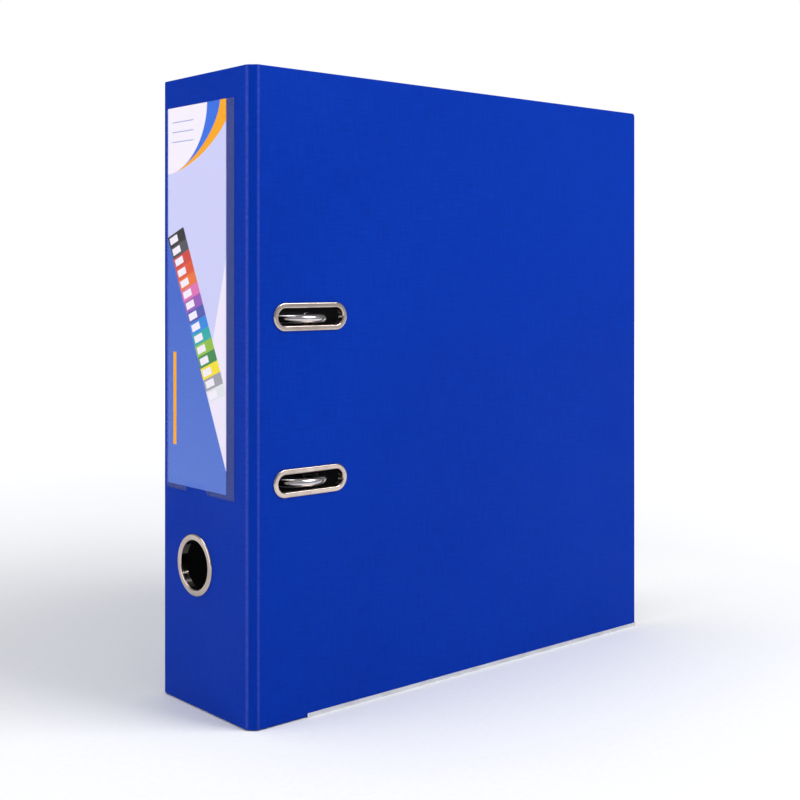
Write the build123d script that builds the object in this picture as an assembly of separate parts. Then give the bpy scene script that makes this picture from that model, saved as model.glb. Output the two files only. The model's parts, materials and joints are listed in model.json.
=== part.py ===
from build123d import *
import math
import os

# Lever arch file for A4 paper, closed and standing on its bottom edge.
# Units are millimetres. +Z is up, the front cover faces -Y, the spine faces -X, and the origin is
# at the middle of the whole object's footprint, on the surface that it stands on.
# Two covers and a spine of grey board hang together on two double creases. Each panel has a foil
# outside, turned in over its edges, and a paper lining inside. The lever mechanism is riveted to
# the back cover, and the tops of its arches stand in two lined slots of the front cover.

# ---- Case ----
case_depth = 285.0          # spine to free edge
case_width = 82.0           # outside of one cover to outside of the other
case_height = 315.0
board_gauge = 2.0
foil_gauge = 0.2
lining_gauge = 0.2
crease_inset = 4.0          # from the case's sharp corner to each crease, along both faces
crease_gap = 0.3            # free width left at a crease's thinnest place
crease_relief = 23.5        # degrees that a panel's end slopes away on each side of its middle
turn_in = 12.0              # foil folded over onto the inside
corner_radius = 2.0         # covers' free corners
edge_round = 0.6            # of the foil along a panel's top, bottom and free edges
rim_proud = 0.9             # rings and rivet heads stand this far off the foil
inner_rim = 0.6             # what a ring's clinched side stands off the lining
ring_gauge = 0.5            # sheet thickness of the slot rings and the finger ring
ring_fit = 0.02             # between a ring's tube and the hole it lines

# ---- Edge rails ----
rail_gauge = 0.4
rail_start = 33.0           # from the spine's outside
rail_outer_leg = 2.2
rail_inner_leg = 4.5

# ---- Slot rings in the front cover ----
slot_length = 39.3          # clear opening
slot_height = 8.5
slot_rim = 2.7              # rim width around the opening
slot_middle = 35.1          # from the spine's outside to the slots' middle
slot_level = 155.2          # height of the point half way between the slots

# ---- Spine: finger ring, label pocket and label ----
finger_bore = 12.25         # radius
finger_rim = 3.25
finger_level = 71.0
finger_off_middle = 7.7     # from the spine's middle towards the back cover
pocket_margin = 10.3        # foil left bare beside the pocket, on average
pocket_off_middle = 3.4     # from the spine's middle towards the back cover
pocket_bottom = 107.0
pocket_top_margin = 14.5    # from the pocket's top to the spine's top
film_gauge = 0.25
weld_front = 6.8            # welded border on the front cover's side
weld_back = 1.2
weld_bottom = 2.4
notch_from_back = 18.2      # from the pocket's rear side to the notch
notch_width = 16.2          # at its top
notch_height = 5.0
notch_slope = 3.7           # how much wider the notch is at its mouth, towards the front
label_gauge = 0.25
label_play = 0.05           # on each face
label_side_play = 0.1

# ---- Mechanism, in its own frame: u from the spine's outside, w along the spine, h off the lining ----
mechanism_level = 153.9     # height of the mechanism's middle
hole_pitch = 80.0           # between the two posts
plate_gauge = 1.2
plate_past_posts = 12.0     # plate's end beyond the posts
plate_near = 10.0           # plate's edge next to the spine
plate_far = 68.0
plate_corner = 5.0
plate_window = 8.0          # length of the hole that each lug was bent up from
ear_window = 24.0
window_corner = 1.0
bead_width = 4.0
bead_height = 0.8
bead_length = 62.0
bead_from_edge = 6.0
rivet_shank = 1.6
rivet_head = 4.5            # radius, outside the back cover
rivet_tail = 2.8            # radius, on the base plate
rivet_tail_height = 0.8
rivet_from_edge = 6.0
wire = 2.25                 # radius of the arch wire
arch_radius = 14.5          # of the wire's middle line
arch_middle = 37.5          # half way between leg and post
arch_below_face = 0.5       # the arch's top lies this far under the front cover's outside
shaft_u = 34.5
shaft_h = 17.0
shaft_play = 0.06
leg_foot = 32.0             # height where the leg turns in to the shaft
crank_radius = 11.0
crank_drop = 35.0           # degrees below level, arches closed
crank_from_post = 20.0      # along the file, from post to crank
lug_from_post = 9.0
lug_gauge = 2.0
lug_wall = 1.5              # around the shaft
post_radius = 2.5
post_bore = 1.7
post_collar = 1.4           # how far the collar stands out
post_collar_height = 1.5
post_blind = 6.0            # the bore stops this far above the lining
tip_gap = 0.1               # between a post's mouth and the arch's end
tip_dome = 0.45
straight_tip = 8.0          # straight wire between the arch and its end
tip_dome_radius = 1.2
leg_bend = 5.0              # bend radius at the leg's foot
leg_top_bend = 8.0
crank_bend = 3.6
mouth_round = 0.3           # on a post's mouth

# ---- Lever and roller ----
roller_radius = 4.0
roller_width = 6.8
roller_play = 0.15          # between roller and crossbar
roller_arm = 7.0            # pivot to roller
roller_lead = 40.0          # degrees that the roller leads the pivot's foot
lever_u = 44.4
lever_inside = 7.6          # between the lever's cheeks
lever_gauge = 1.0
pin_radius = 1.5
pin_head = 0.9              # how far the pin's heads stand out
pin_head_height = 0.6
axle_radius = 1.0
pin_play = 0.05
ear_play = 0.25
ear_gauge = 1.2
ear_radius = 4.4            # round the pivot pin
ear_foot = 17.0
cheek_radius = 4.3          # round the pivot
roller_cheek = 3.0          # round the roller's axle
tail_radius = 2.6
head_tail = 13.0            # from the roller to where the head narrows
head_fall = 2.1             # the head's top falls this much from the pivot to its tail
head_taper = 10.0           # length of the narrowing
strap_near = 40.2           # the handle's two sides
strap_far = 45.6
strap_depth = 4.0
strap_past_post = 13.0      # the strap's end, beyond the lower post
strap_drop = 10.4           # from the head's tail down to the strap's end
grip_length = 17.5
grip_width = 9.6
grip_u = 44.2               # the grip's middle, clear of the open arch's leg
grip_gauge = 5.0
grip_overlap = 5.5          # length of strap inside the grip
grip_slope = 20.0           # degrees
grip_round = 1.2
grip_hole_length = 9.0
grip_hole_width = 4.4
grip_hole_off = 1.6         # from the grip's middle towards its end

# ---- Compressor ----
bar_rest = 2.6              # height of the bar's lower rim
bar_depth = 5.0
bar_gauge = 1.2
bar_corner = 1.5
bar_edge = 0.8
bar_from_post = 5.6         # near edge to the posts' middle
bar_past_post = 14.0        # far edge to the posts' middle
waist_play = 1.6            # between the pivot pin's head and the bar's narrow stretch
bar_end = 7.2               # bar's end beyond the posts
shoulder_from_post = 10.0
shoulder_taper = 6.0
post_clearance = 0.35
clamp_gauge = 1.0
clamp_half_width = 4.6
clamp_tilt = 8.0            # degrees at rest
clamp_reach = 23.0          # from the clamp's pin to its end
clamp_pin = 0.8
pin_from_post = 5.2
clamp_pin_lift = 1.9        # pin's middle above the bar
clamp_barrel = 1.5
clamp_ear = 1.0
clamp_clearance = 0.6       # of the tilted hole round the post
clamp_play = 0.2
clamp_corner = 2.0
pad_length = 8.0
pad_height = 2.2
pad_inset = 0.8
rib_pitch = 1.6
rib_groove = 0.7
rib_depth = 0.4

# ---- Springs ----
arch_spring_wire = 0.5
arch_spring_play = 0.4      # between coil and shaft
arch_spring_turns = 4.5
arch_spring_pitch = 1.12
arch_spring_side_play = 1.0 # between the first turn and the lug
arch_spring_hook = 3.4      # length under the crank
hook_bend = 1.2
clamp_spring_wire = 0.25
clamp_spring_radius = 2.2
clamp_spring_turns = 3.5
clamp_spring_off_post = 0.9
clamp_spring_play = 0.05    # at each end

# ---- Places that follow from the sizes above ----
wall = board_gauge + foil_gauge + lining_gauge
middle = wall / 2
spine_x = -(case_depth - rim_proud) / 2
free_x = spine_x + case_depth
front_y = -case_width / 2
back_y = case_width / 2
foil_foot = rail_gauge
cavity = case_width - 2 * wall
crease_slope = math.tan(math.radians(crease_relief))
crease_shift = crease_inset + middle * math.tan(math.radians(22.5))
x_axis = (1, 0, 0)
y_axis = (0, 1, 0)
z_axis = (0, 0, 1)
through = 2 * case_depth    # length of a cutter that passes right through

half_pitch = hole_pitch / 2
strap_end = half_pitch + strap_past_post
pocket_width = case_width - 2 * pocket_margin
pocket_length = case_height - pocket_top_margin - pocket_bottom
label_width = pocket_width - weld_front - weld_back - 2 * label_side_play
label_length = pocket_length - weld_bottom

arch_top = cavity + wall - arch_below_face
arch_h = arch_top - wire - arch_radius
post_u = arch_middle + arch_radius
leg_u = arch_middle - arch_radius
post_top = arch_h - straight_tip
plate_length = hole_pitch + 2 * plate_past_posts
lug_at = half_pitch - lug_from_post
lug_radius = wire + shaft_play + lug_wall
crank_half = half_pitch - crank_from_post
crank_u = shaft_u + crank_radius * math.cos(math.radians(crank_drop))
crank_h = shaft_h - crank_radius * math.sin(math.radians(crank_drop))
roller_w = 0.0
roller_h = crank_h + wire + roller_play + roller_radius
pivot_w = roller_w + roller_arm * math.sin(math.radians(roller_lead))
pivot_h = roller_h + roller_arm * math.cos(math.radians(roller_lead))
ear_inner = lever_inside / 2 + lever_gauge + ear_play
ear_outer = ear_inner + ear_gauge
head_half = lever_inside / 2 + lever_gauge
head_top = pivot_h + cheek_radius - head_fall

bar_near = post_u - bar_from_post
bar_far = post_u + bar_past_post
bar_waist = lever_u + ear_outer + pin_head_height + waist_play
bar_half = half_pitch + bar_end
bar_shoulder = half_pitch - shoulder_from_post
bar_top = bar_rest + bar_depth
clamp_pin_at = half_pitch + pin_from_post
clamp_pin_h = bar_top + clamp_pin_lift
clamp_hole = post_radius + clamp_clearance

# Local x is u, local y is w and local z is h.
mechanism = Plane(
    origin=(spine_x, back_y - wall, mechanism_level), x_dir=(1, 0, 0), z_dir=(0, -1, 0)
)
side_on = Plane(origin=(0, 0, 0), x_dir=y_axis, z_dir=x_axis)   # sketches w by h, seen along u


def block(x0, x1, y0, y1, z0, z1):
    """A box between two corners."""
    return Pos((x0 + x1) / 2, (y0 + y1) / 2, (z0 + z1) / 2) * Box(x1 - x0, y1 - y0, z1 - z0)


def rod(start, direction, radius, length):
    """A round bar that starts at a point and runs along a direction."""
    return Plane(origin=start, z_dir=direction) * extrude(Circle(radius), amount=length)


def bore(middle_point, direction, radius):
    """A cutter for a round hole, long enough to pass right through."""
    start = Vector(*middle_point) - Vector(*direction) * (through / 2)
    return rod(start, direction, radius, through)


def button(radius, height, rounding):
    """A low disc with its top edge rounded."""
    disc = extrude(Circle(radius), amount=height)
    return fillet(disc.edges().group_by(Axis.Z)[-1], height * rounding)


# ---------------------------------------------------------------- case


def layer(a, b, low, high, foot, head, edge_a=None, edge_b=None):
    """One layer of a panel, between two offsets from the panel's middle, from foot to head.

    a and b are the ends of the panel's middle line in plan, with the outside on the left. An end
    is a crease, sloped away on both sides of the middle, unless it has an edge setback.
    """
    along = (b - a).normalized()
    outward = Vector(-along.Y, along.X, 0)
    offsets = [low, 0.0, high] if low < 0 < high else [low, high]

    def setback(offset, edge):
        return crease_gap / 2 + abs(offset) * crease_slope if edge is None else edge

    near = [a + along * setback(o, edge_a) + outward * o for o in offsets]
    far = [b - along * setback(o, edge_b) + outward * o for o in reversed(offsets)]
    outline = make_face(Polyline(*near, *far, close=True))
    return Pos(0, 0, foot) * extrude(outline, amount=head - foot, dir=z_axis)


def soften(solid, outward, free, corner, edge):
    """Rounds a cover's free corners, and the edges of a panel's two faces except at its creases."""
    if free:
        solid = fillet(solid.edges().filter_by(Axis.Y).group_by(Axis.X)[-1], corner)
    faces = solid.faces().filter_by(outward)
    edges = ShapeList(e for face in faces for e in face.edges())
    level = edges.filter_by(Axis.Z, reverse=True)
    upright = edges.filter_by(Axis.Z).group_by(Axis.X)[-1] if free else []
    return fillet([*level, *upright], edge)


def panel(a, b, free=None, holes=()):
    """A panel's board, foil and lining. free is "a" or "b" for the end that is a free edge."""
    along = (b - a).normalized()
    outward = Axis((0, 0, 0), (-along.Y, along.X, 0))
    half = board_gauge / 2

    def sheet(low, high, inset):
        edge_a = inset if free == "a" else None
        edge_b = inset if free == "b" else None
        return layer(a, b, low, high, foil_foot + inset, case_height - inset, edge_a, edge_b)

    whole = soften(sheet(-middle, middle, 0), outward, free, corner_radius, edge_round)
    board = soften(
        sheet(-half, half, foil_gauge), outward, free,
        corner_radius - foil_gauge, edge_round - foil_gauge,
    )
    lining = sheet(-middle, -half, turn_in)
    for hole in holes:
        whole -= hole
        board -= hole
        lining -= hole
    return board, whole - board - lining, lining


def slot_places():
    return [("upper", slot_level + half_pitch), ("lower", slot_level - half_pitch)]


def slot_plane(level):
    return Plane(origin=(spine_x + slot_middle, front_y, level), x_dir=x_axis, z_dir=(0, -1, 0))


finger_plane = Plane(
    origin=(spine_x, finger_off_middle, finger_level), x_dir=(0, -1, 0), z_dir=(-1, 0, 0)
)


def slot_shape(grown):
    return SlotOverall(slot_length + 2 * grown, slot_height + 2 * grown)


def finger_shape(grown):
    return Circle(finger_bore + grown)


def lining_ring(shape, rim):
    """A one-piece metal ring that lines a hole: outside rim, tube and clinched inside rim.

    shape(grown) is the opening's outline grown on all sides. Local z = 0 is the foil's face.
    """
    outside = extrude(shape(rim), amount=rim_proud)
    outside = fillet(outside.edges().group_by(Axis.Z)[-1], rim_proud * 0.85)
    inside = Pos(0, 0, -wall - inner_rim) * extrude(shape(rim * 0.85), amount=inner_rim)
    inside = fillet(inside.edges().group_by(Axis.Z)[0], inner_rim * 0.8)
    tube = Pos(0, 0, -wall) * extrude(shape(ring_gauge), amount=wall)
    whole = outside + tube + inside
    whole -= Pos(0, 0, -wall - inner_rim) * extrude(shape(0), amount=wall + inner_rim + rim_proud)
    return fillet(whole.edges().group_by(Axis.Z)[-1], rim_proud * 0.7)


def hole_cutter(shape):
    return Pos(0, 0, -2 * wall) * extrude(shape(ring_gauge + ring_fit), amount=4 * wall)


def rivet_places():
    near = plate_near + rivet_from_edge
    far = plate_far - rivet_from_edge
    end = plate_length / 2 - rivet_from_edge
    return [(u, w) for u in (near, far) for w in (-end, end)]


def rail(outer_face, inward):
    """A channel over a cover's bottom edge. inward is the direction from outside to inside along Y."""
    inner_face = outer_face + inward * wall
    out_side = outer_face - inward * rail_gauge
    in_side = inner_face + inward * rail_gauge

    def strip(y0, y1, z1):
        return block(spine_x + rail_start, free_x, min(y0, y1), max(y0, y1), 0, z1)

    channel = (
        strip(out_side, in_side, rail_gauge)
        + strip(out_side, outer_face, rail_outer_leg)
        + strip(inner_face, in_side, rail_inner_leg)
    )
    return fillet(channel.edges().filter_by(Axis.X).group_by(Axis.Z)[0], rail_gauge * 0.9)


def case_parts():
    front_spine = Vector(spine_x + middle, front_y + crease_shift, 0)
    front_cover = Vector(spine_x + crease_shift, front_y + middle, 0)
    back_spine = Vector(spine_x + middle, back_y - crease_shift, 0)
    back_cover = Vector(spine_x + crease_shift, back_y - middle, 0)
    front_free = Vector(free_x, front_y + middle, 0)
    back_free = Vector(free_x, back_y - middle, 0)

    slot_holes = [slot_plane(level) * hole_cutter(slot_shape) for _, level in slot_places()]
    finger_hole = finger_plane * hole_cutter(finger_shape)
    rivet_holes = [mechanism * bore((u, w, 0), z_axis, rivet_shank) for u, w in rivet_places()]
    rivet_holes = [hole & block(spine_x, free_x, 0, back_y, 0, case_height) for hole in rivet_holes]
    panels = {
        "front_cover": panel(front_free, front_cover, free="a", holes=slot_holes),
        "front_hinge": panel(front_cover, front_spine),
        "spine": panel(front_spine, back_spine, holes=[finger_hole]),
        "back_hinge": panel(back_spine, back_cover),
        "back_cover": panel(back_cover, back_free, free="b", holes=rivet_holes),
    }
    parts = {}
    for name, (board, foil, lining) in panels.items():
        parts[name + "_board"] = board
        parts[name + "_foil"] = foil
        parts[name + "_lining"] = lining
    for name, level in slot_places():
        parts[name + "_slot_ring"] = slot_plane(level) * lining_ring(slot_shape, slot_rim)
    parts["finger_ring"] = finger_plane * lining_ring(finger_shape, finger_rim)
    parts["front_edge_rail"] = rail(front_y, 1)
    parts["back_edge_rail"] = rail(back_y, -1)
    return parts


def label_parts():
    """The clear pocket, welded to the foil on three sides and open at the top, and its label.

    Local x points to the front cover's side, y up and z away from the spine.
    """
    face = Plane(
        origin=(spine_x, pocket_off_middle, pocket_bottom), x_dir=(0, -1, 0), z_dir=(-1, 0, 0)
    )
    half = pocket_width / 2
    back, front = -half + weld_back, half - weld_front
    pouch = label_gauge + 2 * label_play
    outside = pouch + film_gauge
    border = block(-half, half, 0, pocket_length, 0, film_gauge)
    bulge = block(back - film_gauge, front + film_gauge, weld_bottom - film_gauge, pocket_length, 0, outside)
    film = border + bulge - block(back, front, weld_bottom, pocket_length, 0, pouch)
    notch_x = -half + notch_from_back
    notch = Polyline(
        (notch_x, -notch_height),
        (notch_x, notch_height),
        (notch_x + notch_width, notch_height),
        (notch_x + notch_width + notch_slope, 0),
        (notch_x + notch_width + notch_slope, -notch_height),
        close=True,
    )
    film -= extrude(make_face(notch), amount=outside, dir=z_axis)
    label = block(
        back + label_side_play, back + label_side_play + label_width,
        weld_bottom, weld_bottom + label_length,
        label_play, label_play + label_gauge,
    )
    return {"label_pocket": face * film, "label_card": face * label}


# ---------------------------------------------------------------- mechanism


def standing_lug(w):
    """A lug across the shaft: a round head over a straight foot on the base plate, with a bore."""
    w0, w1 = w - lug_gauge / 2, w + lug_gauge / 2
    foot = block(shaft_u - lug_radius, shaft_u + lug_radius, w0, w1, plate_gauge, shaft_h)
    head = rod((shaft_u, w0, shaft_h), y_axis, lug_radius, lug_gauge)
    return foot + head - bore((shaft_u, w, shaft_h), y_axis, wire + shaft_play)


def pivot_ear(u0):
    """An ear beside the lever, with a tapered foot and a bore for the pivot pin."""
    head = Pos(pivot_w, pivot_h) * Circle(ear_radius)
    foot = Pos(pivot_w, plate_gauge + ear_gauge / 2) * Rectangle(ear_foot, ear_gauge)
    ear = Pos(u0, 0, 0) * (side_on * extrude(make_hull((head + foot).edges()), amount=ear_gauge))
    return ear - bore((u0, pivot_w, pivot_h), x_axis, pin_radius)


def window(u, w, width, length):
    """The hole in the base plate that a lug or an ear was bent up from."""
    return Pos(u, w, 0) * extrude(RectangleRounded(width, length, window_corner), amount=plate_gauge)


def base_plate():
    plate = Pos((plate_near + plate_far) / 2, 0, 0) * extrude(
        RectangleRounded(plate_far - plate_near, plate_length, plate_corner), amount=plate_gauge
    )
    plate = fillet(plate.edges().group_by(Axis.Z)[-1], plate_gauge * 0.45)
    bead = extrude(Rot(0, 0, 90) * SlotOverall(bead_length, bead_width), amount=bead_height)
    bead = fillet(bead.edges().group_by(Axis.Z)[-1], bead_height * 0.8)
    for u in (plate_near + bead_from_edge, plate_far - bead_from_edge):
        plate += Pos(u, 0, plate_gauge) * bead
    for side in (-1, 1):
        beside = side * (lug_at + lug_gauge / 2 + window_corner + plate_window / 2)
        plate -= window(shaft_u, beside, 2 * lug_radius, plate_window)
        plate += standing_lug(side * lug_at)
    plate -= window(lever_u, pivot_w, 2 * ear_inner, ear_window)
    plate += pivot_ear(lever_u - ear_outer) + pivot_ear(lever_u + ear_inner)
    for u, w in rivet_places():
        plate -= bore((u, w, 0), z_axis, rivet_shank)
    for w in (-half_pitch, half_pitch):
        plate -= bore((post_u, w, 0), z_axis, post_radius)
    return plate


def base_rivets():
    rivets = []
    for u, w in rivet_places():
        head = Pos(u, w, -wall) * (Rot(180, 0, 0) * button(rivet_head, rim_proud, 0.8))
        shank = rod((u, w, -wall), z_axis, rivet_shank, wall + plate_gauge)
        tail = Pos(u, w, plate_gauge) * button(rivet_tail, rivet_tail_height, 0.8)
        rivets.append(head + shank + tail)
    return Compound(children=rivets)


def post(w):
    """A fixed tube for the paper, riveted into the base plate with a collar above it."""
    tube = rod((post_u, w, 0), z_axis, post_radius, post_top)
    collar = Pos(post_u, w, plate_gauge) * button(post_radius + post_collar, post_collar_height, 0.5)
    tube = fillet((tube + collar).edges().group_by(Axis.Z)[-1], mouth_round)
    return tube - rod((post_u, w, post_blind), z_axis, post_bore, post_top)


def arch_wire():
    """Both arches and the cranked shaft between them, bent from one wire."""
    half_run = [
        (leg_u, half_pitch, arch_h),
        (leg_u, half_pitch, leg_foot),
        (shaft_u, half_pitch, shaft_h),
        (shaft_u, crank_half, shaft_h),
        (crank_u, crank_half, crank_h),
    ]
    other_half = [(u, -w, h) for u, w, h in reversed(half_run)]
    bends = [leg_top_bend, leg_bend, crank_bend, crank_bend]
    run = FilletPolyline(*half_run, *other_half, radius=[*bends, *reversed(bends)])

    def arch(w):
        crown = ThreePointArc(
            (leg_u, w, arch_h), (arch_middle, w, arch_h + arch_radius), (post_u, w, arch_h)
        )
        return [crown, Line((post_u, w, arch_h), (post_u, w, post_top + tip_gap))]

    path = Wire([*arch(half_pitch), *run.edges(), *arch(-half_pitch)])
    start = Plane(origin=(post_u, half_pitch, post_top + tip_gap), z_dir=z_axis)
    solid = sweep(start * Circle(wire), path=path)
    for w in (-half_pitch, half_pitch):
        dome = Rot(180, 0, 0) * button(tip_dome_radius, tip_dome, 0.9)
        solid += Pos(post_u, w, post_top + tip_gap) * dome
    return solid


def wire_along(path, gauge):
    """Round wire that follows a path."""
    section = Plane(origin=path @ 0, z_dir=path % 0) * Circle(gauge)
    return sweep(section, path=path, is_frenet=True)


def lower_arch_spring():
    """A torsion coil round the shaft that opens the arches, from the plate to under the crank."""
    gauge = arch_spring_wire
    radius = wire + arch_spring_play + gauge
    start_w = -lug_at + lug_gauge / 2 + arch_spring_side_play + gauge
    start = Plane(origin=(shaft_u, start_w, shaft_h), x_dir=(-1, 0, 0), z_dir=y_axis)
    height = arch_spring_pitch * arch_spring_turns
    turns = start * Helix(pitch=arch_spring_pitch, height=height, radius=radius)
    drop = math.radians(crank_drop)
    tail_length = radius * math.tan(drop) + (wire + gauge + shaft_play) / math.cos(drop)
    foot = Line(turns @ 0 - (turns % 0) * (shaft_h - plate_gauge), turns @ 0)
    tail = Line(turns @ 1, turns @ 1 + (turns % 1) * (tail_length - hook_bend))
    bend = TangentArc(tail @ 1, tail @ 1 + Vector(0, hook_bend, -hook_bend), tangent=tail % 1)
    hook = Line(bend @ 1, bend @ 1 + (bend % 1) * arch_spring_hook)
    return wire_along(Wire([foot, *turns.edges(), tail, bend, hook]), gauge)


def arm_outline(drop):
    """Side view of the lever, w by h, and its sheet's inner face where drop is the sheet's gauge."""
    head = make_hull(
        (
            Pos(pivot_w, pivot_h - drop) * Circle(cheek_radius)
            + Pos(roller_w, roller_h - drop) * Circle(roller_cheek)
            + Pos(-head_tail, head_top - tail_radius - drop) * Circle(tail_radius)
        ).edges()
    )
    start = (-head_tail, head_top - drop)
    end = (-strap_end, head_top - strap_drop - drop)
    upper = TangentArc(start, end, tangent=(-1, 0))
    lower = Pos(0, -strap_depth) * upper
    strap = make_face([upper, Line(upper @ 1, lower @ 1), lower, Line(lower @ 0, upper @ 0)])
    return head, strap


def arm_plan(inset):
    """The lever from above, u by w: a wide head that narrows to the strap."""
    half = head_half - inset
    near, far = strap_near + inset, strap_far - inset
    waist = -head_tail - head_taper
    return make_face(
        Polyline(
            (lever_u - half, through), (lever_u + half, through),
            (lever_u + half, -head_tail), (far, waist), (far, -through),
            (near, -through), (near, waist), (lever_u - half, -head_tail),
            close=True,
        )
    )


def lever_arm():
    """A pressed channel: two cheeks round pivot and roller, and a strap that leads to the grip."""

    def along_u(shape):
        return Pos(lever_u - 2 * head_half, 0, 0) * (side_on * extrude(shape, amount=4 * head_half))

    def solid(drop):
        head, strap = arm_outline(drop)
        below = Pos(0, -pivot_h) * head
        whole = make_hull([*head.edges(), *below.edges()]) if drop else head
        return (along_u(whole) + along_u(strap)) & extrude(arm_plan(drop), amount=through)

    arm = solid(0) - solid(lever_gauge)
    arm -= bore((lever_u, pivot_w, pivot_h), x_axis, pin_radius + pin_play)
    return arm - bore((lever_u, roller_w, roller_h), x_axis, axle_radius)


def lever_grip(arm):
    """A plastic finger loop pushed over the strap's end."""
    slope = math.radians(grip_slope)
    past_end = grip_length / 2 - grip_overlap
    loop = extrude(SlotOverall(grip_length, grip_width), amount=grip_gauge)
    loop -= extrude(
        Pos(grip_hole_off, 0) * SlotOverall(grip_hole_length, grip_hole_width), amount=grip_gauge
    )
    loop = fillet(loop.edges(), grip_round)
    strap_h = head_top - strap_drop - strap_depth / 2
    centre = Plane(
        origin=(
            grip_u,
            -strap_end - past_end * math.cos(slope),
            strap_h - past_end * math.sin(slope),
        ),
        x_dir=(0, -math.cos(slope), -math.sin(slope)),
        z_dir=(0, -math.sin(slope), math.cos(slope)),
    )
    return centre * (Pos(0, 0, -grip_gauge / 2) * loop) - arm


def lever_parts():
    arm = lever_arm()
    roller = rod((lever_u - roller_width / 2, roller_w, roller_h), x_axis, roller_radius, roller_width)
    roller = fillet(roller.edges(), roller_play * 3)
    roller -= bore((lever_u, roller_w, roller_h), x_axis, axle_radius + pin_play)
    pin_length = 2 * ear_outer
    pin = rod((lever_u - ear_outer, pivot_w, pivot_h), x_axis, pin_radius, pin_length)
    for u in (lever_u - ear_outer - pin_head_height, lever_u + ear_outer):
        pin += rod((u, pivot_w, pivot_h), x_axis, pin_radius + pin_head, pin_head_height)
    return {
        "lever_arm": arm,
        "lever_grip": lever_grip(arm),
        "roller": roller,
        "roller_axle": rod((lever_u - head_half, roller_w, roller_h), x_axis, axle_radius, 2 * head_half),
        "lever_pivot_pin": pin,
    }


def bar_outline(inset):
    """The compressor bar in plan, wide at the posts and narrow beside the lever's ears."""
    near, far, waist = bar_near + inset, bar_far - inset, bar_waist + inset
    half, shoulder = bar_half - inset, bar_shoulder + inset
    taper = shoulder - shoulder_taper
    outline = Polyline(
        (near, half), (far, half), (far, -half), (near, -half),
        (near, -shoulder), (waist, -taper), (waist, taper), (near, shoulder),
        close=True,
    )
    return make_face(outline)


def clamp_ears(w):
    """A pair of ears on the bar's end that hold a clamp plate's pin."""
    ears = []
    for side in (-1, 1):
        inside = post_u + side * (clamp_half_width + clamp_play)
        u0 = min(inside, inside + side * clamp_ear)
        foot = block(u0, u0 + clamp_ear, w - clamp_barrel, w + clamp_barrel, bar_top - bar_gauge, clamp_pin_h)
        ears.append(foot + rod((u0, w, clamp_pin_h), x_axis, clamp_barrel, clamp_ear))
    return ears


def compressor_bar():
    bar = Pos(0, 0, bar_rest) * extrude(bar_outline(0), amount=bar_depth, dir=z_axis)
    bar = fillet(bar.edges().filter_by(Axis.Z), bar_corner)
    bar = fillet(bar.edges().group_by(Axis.Z)[-1], bar_edge)
    hollow = extrude(bar_outline(bar_gauge), amount=bar_depth - bar_gauge, dir=z_axis)
    bar -= Pos(0, 0, bar_rest) * hollow
    for sign in (-1, 1):
        bar -= bore((post_u, sign * half_pitch, 0), z_axis, post_radius + post_clearance)
        for ear in clamp_ears(sign * clamp_pin_at):
            bar += ear
        bar -= bore((post_u, sign * clamp_pin_at, clamp_pin_h), x_axis, clamp_pin)
    return bar


def clamp_hinge_pins():
    reach = clamp_half_width + clamp_play + clamp_ear
    starts = [(post_u - reach, sign * clamp_pin_at, clamp_pin_h) for sign in (-1, 1)]
    return Compound(children=[rod(start, x_axis, clamp_pin, 2 * reach) for start in starts])


def clamp_parts(sign):
    """A tilting clamp plate that grips the post by the edges of its hole, and its push pad.

    Local x lies across the bar, and local -y runs from the pin towards the bar's middle, tilted up.
    """
    tilt = math.radians(clamp_tilt)
    plane = Plane(
        origin=(post_u, sign * clamp_pin_at, clamp_pin_h),
        x_dir=(sign, 0, 0),
        z_dir=(0, sign * math.sin(tilt), math.cos(tilt)),
    )
    half = clamp_half_width
    plate = block(-half, half, -clamp_reach, 0, clamp_barrel - clamp_gauge, clamp_barrel)
    plate = fillet(plate.edges().filter_by(Axis.Z).group_by(Axis.Y)[0], clamp_corner)
    plate += rod((-half, 0, 0), x_axis, clamp_barrel, 2 * half)
    plate -= rod((0, -pin_from_post, 0), z_axis, clamp_hole, through)
    plate -= bore((0, 0, 0), x_axis, clamp_pin + pin_play)

    pad_end = -clamp_reach + pad_inset
    pad_top = clamp_barrel + pad_height
    pad = block(-half + pad_inset, half - pad_inset, pad_end, pad_end + pad_length, clamp_barrel, pad_top)
    pad = fillet(pad.edges().filter_by(Axis.Z), clamp_corner - pad_inset / 2)
    pad = fillet(pad.edges().group_by(Axis.Z)[-1], rib_groove)
    for step in (-1, 0, 1):
        middle_y = pad_end + pad_length / 2 + step * rib_pitch
        pad -= block(
            -half, half, middle_y - rib_groove / 2, middle_y + rib_groove / 2,
            pad_top - rib_depth, pad_top + rib_depth,
        )
    return plane * plate, plane * pad


def clamp_spring(sign):
    """A small open coil between the bar and the clamp plate, under the push pad."""
    from_pin = clamp_reach - pad_inset - pad_length / 2
    lift = clamp_pin_lift + clamp_barrel - clamp_gauge
    lift += (from_pin - clamp_spring_radius) * math.tan(math.radians(clamp_tilt))
    seat = clamp_spring_wire + clamp_spring_play
    height = lift - 2 * seat
    turns = Helix(pitch=height / clamp_spring_turns, height=height, radius=clamp_spring_radius)
    place = Pos(post_u + clamp_spring_off_post, sign * (clamp_pin_at - from_pin), bar_top + seat)
    return place * wire_along(turns, clamp_spring_wire)


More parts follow.
